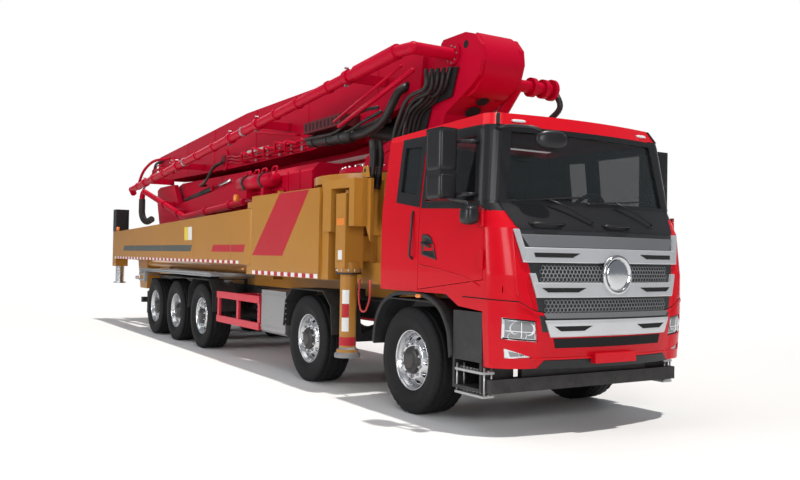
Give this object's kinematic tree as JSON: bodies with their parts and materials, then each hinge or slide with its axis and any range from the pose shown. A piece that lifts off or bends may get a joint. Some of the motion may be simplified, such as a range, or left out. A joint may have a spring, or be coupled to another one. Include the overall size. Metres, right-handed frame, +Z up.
{
  "type": "truck-mounted concrete pump with folding boom",
  "caption": "Red-cab, multi-axle concrete pump truck with a folded placing boom over an ochre pump body, swing-out outriggers, rear hopper and tied-up end hose.",
  "frame": {"origin": "on the ground under the centre of the overall box, boom stowed", "axes": "+X forward (cab end), +Y to the driver's left, +Z up"},
  "size_m": [14.55, 3, 4.0948],
  "materials": {
    "tyre_rubber": "matt, dusty treads and walls, grey pressed steel discs",
    "cab_glass": "dark tinted, clear gloss",
    "cab_red": "gloss coach paint",
    "trim_plastic": "grained, matt",
    "grille_silver": "satin silver bars on dark mesh",
    "lamp_lens": "clear lens over bright reflectors",
    "boom_red": "semi-gloss enamel",
    "rod_chrome": "ground and plated",
    "frame_black": "satin chassis paint",
    "hose_rubber": "matt wrapped rubber",
    "deck_steel": "grey paint, worn",
    "tank_aluminium": "brushed sheet",
    "body_ochre": "semi-gloss enamel, lightly dusty"
  },
  "bodies": {
    "truck": {"chassis_frame": "frame_black", "axles": "frame_black", "engine_block": "frame_black", "side_tanks": "tank_aluminium", "side_guards": "boom_red", "mudguards": "trim_plastic", "rear_underrun": "frame_black", "walkway": "deck_steel", "cab_shell": "cab_red", "cab_interior": "trim_plastic", "cab_windows": "cab_glass", "front_grille": "grille_silver", "front_bumper": "cab_red", "headlamps": "lamp_lens", "front_underrun": "frame_black", "pedestal": "body_ochre", "side_boxes": "body_ochre", "oil_tank": "boom_red", "hopper": "body_ochre", "pump_unit": "body_ochre"},
    "wheel_1_left": {"wheel_1_left": "tyre_rubber"},
    "knuckle_1_left": {"knuckle_1_left": "frame_black"},
    "wheel_1_right": {"wheel_1_right": "tyre_rubber"},
    "knuckle_1_right": {"knuckle_1_right": "frame_black"},
    "wheel_2_left": {"wheel_2_left": "tyre_rubber"},
    "knuckle_2_left": {"knuckle_2_left": "frame_black"},
    "wheel_2_right": {"wheel_2_right": "tyre_rubber"},
    "knuckle_2_right": {"knuckle_2_right": "frame_black"},
    "wheel_3_left": {"wheel_3_left": "tyre_rubber"},
    "wheel_3_right": {"wheel_3_right": "tyre_rubber"},
    "wheel_4_left": {"wheel_4_left": "tyre_rubber"},
    "wheel_4_right": {"wheel_4_right": "tyre_rubber"},
    "wheel_5_left": {"wheel_5_left": "tyre_rubber"},
    "wheel_5_right": {"wheel_5_right": "tyre_rubber"},
    "door_left": {"door_left": "cab_red", "door_glass_left": "cab_glass"},
    "outrigger_beam_left": {"outrigger_beam_left": "body_ochre"},
    "outrigger_leg_left": {"outrigger_leg_left": "body_ochre"},
    "front_jack_left": {"front_jack_left": "body_ochre"},
    "swing_arm_left": {"swing_arm_left": "body_ochre"},
    "rear_jack_left": {"rear_jack_left": "rod_chrome"},
    "door_right": {"door_right": "cab_red", "door_glass_right": "cab_glass"},
    "outrigger_beam_right": {"outrigger_beam_right": "body_ochre"},
    "outrigger_leg_right": {"outrigger_leg_right": "body_ochre"},
    "front_jack_right": {"front_jack_right": "body_ochre"},
    "swing_arm_right": {"swing_arm_right": "body_ochre"},
    "rear_jack_right": {"rear_jack_right": "rod_chrome"},
    "hopper_grate": {"hopper_grate": "body_ochre"},
    "turret": {"turret": "boom_red"},
    "arm_1": {"arm_1": "boom_red"},
    "arm_2": {"arm_2": "boom_red"},
    "arm_3": {"arm_3": "boom_red"},
    "arm_4": {"arm_4": "boom_red"},
    "lift_barrel": {"lift_barrel": "frame_black"},
    "lift_rod": {"lift_rod": "rod_chrome"},
    "arm_5": {"arm_5": "boom_red", "end_hose": "hose_rubber"}
  },
  "joints": [
    {"name": "steer_1_left", "type": "hinge", "parent": "truck", "child": "knuckle_1_left", "pos_m": [5.655, 0.8, 0.536], "axis": [0, 0, 1], "range_deg": [-35, 35]},
    {"name": "roll_1_left", "type": "hinge", "parent": "knuckle_1_left", "child": "wheel_1_left", "pos_m": [5.655, 1.0475, 0.536], "axis": [0, 1, 0], "continuous": true},
    {"name": "steer_1_right", "type": "hinge", "parent": "truck", "child": "knuckle_1_right", "pos_m": [5.655, -0.8, 0.536], "axis": [0, 0, 1], "range_deg": [-35, 35]},
    {"name": "roll_1_right", "type": "hinge", "parent": "knuckle_1_right", "child": "wheel_1_right", "pos_m": [5.655, -1.0475, 0.536], "axis": [0, 1, 0], "continuous": true},
    {"name": "steer_2_left", "type": "hinge", "parent": "truck", "child": "knuckle_2_left", "pos_m": [3.255, 0.8, 0.536], "axis": [0, 0, 1], "range_deg": [-25, 25]},
    {"name": "roll_2_left", "type": "hinge", "parent": "knuckle_2_left", "child": "wheel_2_left", "pos_m": [3.255, 1.0475, 0.536], "axis": [0, 1, 0], "continuous": true},
    {"name": "steer_2_right", "type": "hinge", "parent": "truck", "child": "knuckle_2_right", "pos_m": [3.255, -0.8, 0.536], "axis": [0, 0, 1], "range_deg": [-25, 25]},
    {"name": "roll_2_right", "type": "hinge", "parent": "knuckle_2_right", "child": "wheel_2_right", "pos_m": [3.255, -1.0475, 0.536], "axis": [0, 1, 0], "continuous": true},
    {"name": "roll_3_left", "type": "hinge", "parent": "truck", "child": "wheel_3_left", "pos_m": [-0.875, 1.0475, 0.536], "axis": [0, 1, 0], "continuous": true},
    {"name": "roll_3_right", "type": "hinge", "parent": "truck", "child": "wheel_3_right", "pos_m": [-0.875, -1.0475, 0.536], "axis": [0, 1, 0], "continuous": true},
    {"name": "roll_4_left", "type": "hinge", "parent": "truck", "child": "wheel_4_left", "pos_m": [-2.285, 1.0475, 0.536], "axis": [0, 1, 0], "continuous": true},
    {"name": "roll_4_right", "type": "hinge", "parent": "truck", "child": "wheel_4_right", "pos_m": [-2.285, -1.0475, 0.536], "axis": [0, 1, 0], "continuous": true},
    {"name": "roll_5_left", "type": "hinge", "parent": "truck", "child": "wheel_5_left", "pos_m": [-3.635, 1.0475, 0.536], "axis": [0, 1, 0], "continuous": true},
    {"name": "roll_5_right", "type": "hinge", "parent": "truck", "child": "wheel_5_right", "pos_m": [-3.635, -1.0475, 0.536], "axis": [0, 1, 0], "continuous": true},
    {"name": "door_left_hinge", "type": "hinge", "parent": "truck", "child": "door_left", "pos_m": [6.845, 1.24, 2.1], "axis": [0, 0, -1], "range_deg": [0, 70]},
    {"name": "outrigger_beam_left_slide", "type": "slide", "parent": "truck", "child": "outrigger_beam_left", "axis": [0, 1, 0], "range_m": [0, 1.4]},
    {"name": "outrigger_leg_left_slide", "type": "slide", "parent": "outrigger_beam_left", "child": "outrigger_leg_left", "axis": [0, 1, 0], "range_m": [0, 1.4]},
    {"name": "front_jack_left_slide", "type": "slide", "parent": "outrigger_leg_left", "child": "front_jack_left", "axis": [0, 0, -1], "range_m": [0, 0.4]},
    {"name": "swing_arm_left_hinge", "type": "hinge", "parent": "truck", "child": "swing_arm_left", "pos_m": [1.225, 1.1, 1.8], "axis": [0, 0, -1], "range_deg": [0, 90]},
    {"name": "rear_jack_left_slide", "type": "slide", "parent": "swing_arm_left", "child": "rear_jack_left", "axis": [0, 0, -1], "range_m": [0, 0.86]},
    {"name": "door_right_hinge", "type": "hinge", "parent": "truck", "child": "door_right", "pos_m": [6.845, -1.24, 2.1], "axis": [0, 0, 1], "range_deg": [0, 70]},
    {"name": "outrigger_beam_right_slide", "type": "slide", "parent": "truck", "child": "outrigger_beam_right", "axis": [0, -1, 0], "range_m": [0, 1.4]},
    {"name": "outrigger_leg_right_slide", "type": "slide", "parent": "outrigger_beam_right", "child": "outrigger_leg_right", "axis": [0, -1, 0], "range_m": [0, 1.4]},
    {"name": "front_jack_right_slide", "type": "slide", "parent": "outrigger_leg_right", "child": "front_jack_right", "axis": [0, 0, -1], "range_m": [0, 0.4]},
    {"name": "swing_arm_right_hinge", "type": "hinge", "parent": "truck", "child": "swing_arm_right", "pos_m": [1.225, -1.1, 1.8], "axis": [0, 0, 1], "range_deg": [0, 90]},
    {"name": "rear_jack_right_slide", "type": "slide", "parent": "swing_arm_right", "child": "rear_jack_right", "axis": [0, 0, -1], "range_m": [0, 0.86]},
    {"name": "grate_hinge", "type": "hinge", "parent": "truck", "child": "hopper_grate", "pos_m": [-6.415, 0, 1.455], "axis": [0, 1, 0], "range_deg": [0, 80]},
    {"name": "slew", "type": "hinge", "parent": "truck", "child": "turret", "pos_m": [3.605, 0, 2.6], "axis": [0, 0, 1], "range_deg": [-180, 180]},
    {"name": "boom_lift", "type": "hinge", "parent": "turret", "child": "arm_1", "pos_m": [5.035, 0, 3.88], "axis": [0, 1, 0], "range_deg": [0, 88]},
    {"name": "arm_2_fold", "type": "hinge", "parent": "arm_1", "child": "arm_2", "pos_m": [-5.745, 0.485, 3.52], "axis": [0, 1, 0], "range_deg": [0, 180]},
    {"name": "arm_3_fold", "type": "hinge", "parent": "arm_2", "child": "arm_3", "pos_m": [3.705, 0.81, 3.32], "axis": [0, -1, 0], "range_deg": [0, 180]},
    {"name": "arm_4_fold", "type": "hinge", "parent": "arm_3", "child": "arm_4", "pos_m": [-5.945, 0, 2.76], "axis": [0, 1, 0], "range_deg": [0, 240]},
    {"name": "arm_5_fold", "type": "hinge", "parent": "arm_4", "child": "arm_5", "pos_m": [-0.695, -0.35, 2.64], "axis": [0, -1, 0], "range_deg": [0, 110]},
    {"name": "lift_barrel_swing", "type": "hinge", "parent": "turret", "child": "lift_barrel", "pos_m": [4.575, 0, 2.95], "axis": [0, 1, 0], "range_deg": [0, 77]},
    {"name": "lift_rod_slide", "type": "slide", "parent": "lift_barrel", "child": "lift_rod", "axis": [-0.9813, 0, 0.1925], "range_m": [0, 1.34]}
  ],
  "couplings": [
    {"joint": "steer_1_right", "follows": "steer_1_left", "ratio": 1},
    {"joint": "steer_2_left", "follows": "steer_1_left", "ratio": 0.7},
    {"joint": "steer_2_right", "follows": "steer_1_left", "ratio": 0.7},
    {"joint": "outrigger_leg_left_slide", "follows": "outrigger_beam_left_slide", "ratio": 1},
    {"joint": "outrigger_leg_right_slide", "follows": "outrigger_beam_right_slide", "ratio": 1},
    {"joint": "arm_2_fold", "follows": "boom_lift", "ratio": 0.15},
    {"joint": "arm_3_fold", "follows": "boom_lift", "ratio": 0.5},
    {"joint": "arm_4_fold", "follows": "boom_lift", "ratio": 0.6},
    {"joint": "arm_5_fold", "follows": "boom_lift", "ratio": 0.5},
    {"joint": "lift_barrel_swing", "follows": "boom_lift", "ratio": 0.8686},
    {"joint": "lift_rod_slide", "follows": "boom_lift", "m_per_rad": 0.8683}
  ]
}
